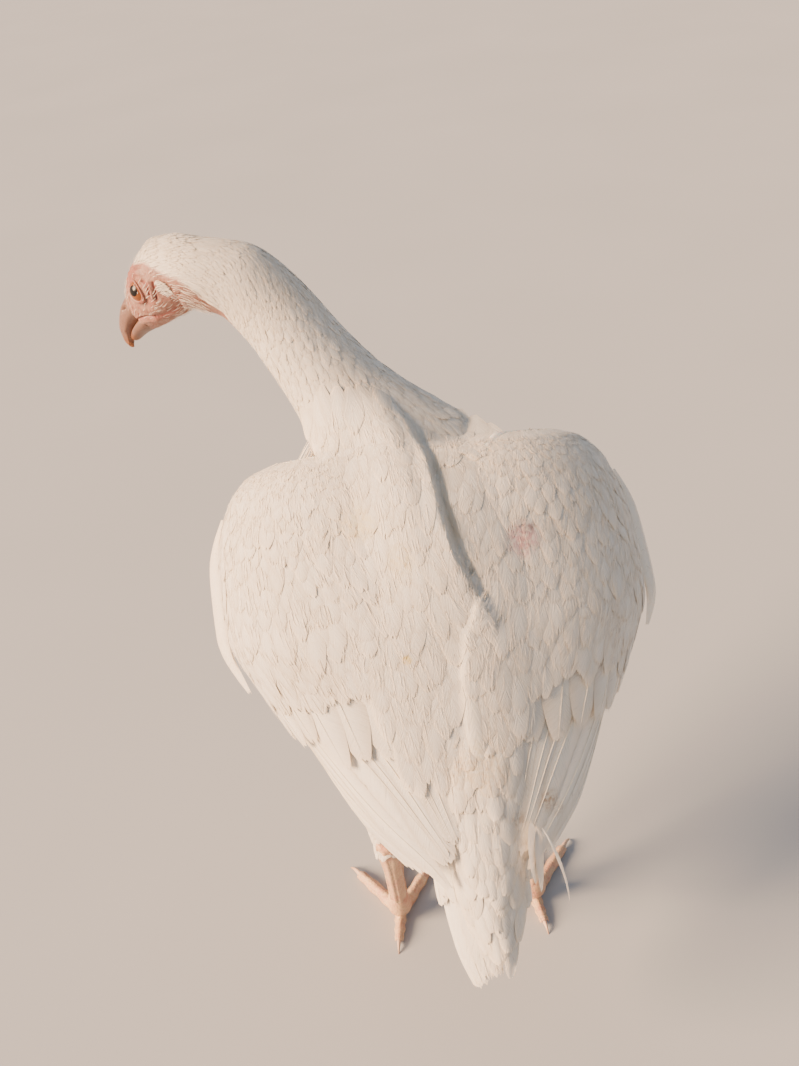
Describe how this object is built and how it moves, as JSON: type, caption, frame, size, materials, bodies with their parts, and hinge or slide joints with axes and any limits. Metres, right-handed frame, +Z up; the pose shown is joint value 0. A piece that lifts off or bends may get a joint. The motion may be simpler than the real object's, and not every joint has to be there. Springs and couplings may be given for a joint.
{
  "type": "aseel chicken",
  "caption": "Life-size standing white Aseel hen, upright, with loosely folded wings, a narrow low tail and its head turned down to its left.",
  "frame": {"origin": "on the floor, under the middle of the hen's bounding box", "axes": "+Z up; -Y the way the breast faces; +X the hen's left"},
  "size_m": [0.2864, 0.2554, 0.4673],
  "materials": {
    "plumage": "soft warm white feathers",
    "bare_skin": "fine folded pink skin",
    "horn": "pinkish horn, satin",
    "eyes": "wet brown",
    "leg_scales": "pinkish yellow scales"
  },
  "bodies": {
    "root": {"torso": "plumage", "neck": "plumage", "head": "bare_skin", "comb": "bare_skin", "beak_upper": "horn", "beak_lower": "horn", "eye_left": "eyes", "eye_right": "eyes", "wing_left": "plumage", "wing_right": "plumage", "tail": "plumage", "thigh_left": "plumage", "thigh_right": "plumage", "shank_left": "leg_scales", "shank_right": "leg_scales", "foot_left": "leg_scales", "foot_right": "leg_scales", "claw_left_middle": "horn", "claw_left_inner": "horn", "claw_left_outer": "horn", "claw_left_back": "horn", "claw_right_middle": "horn", "claw_right_inner": "horn", "claw_right_outer": "horn", "claw_right_back": "horn"}
  },
  "joints": []
}
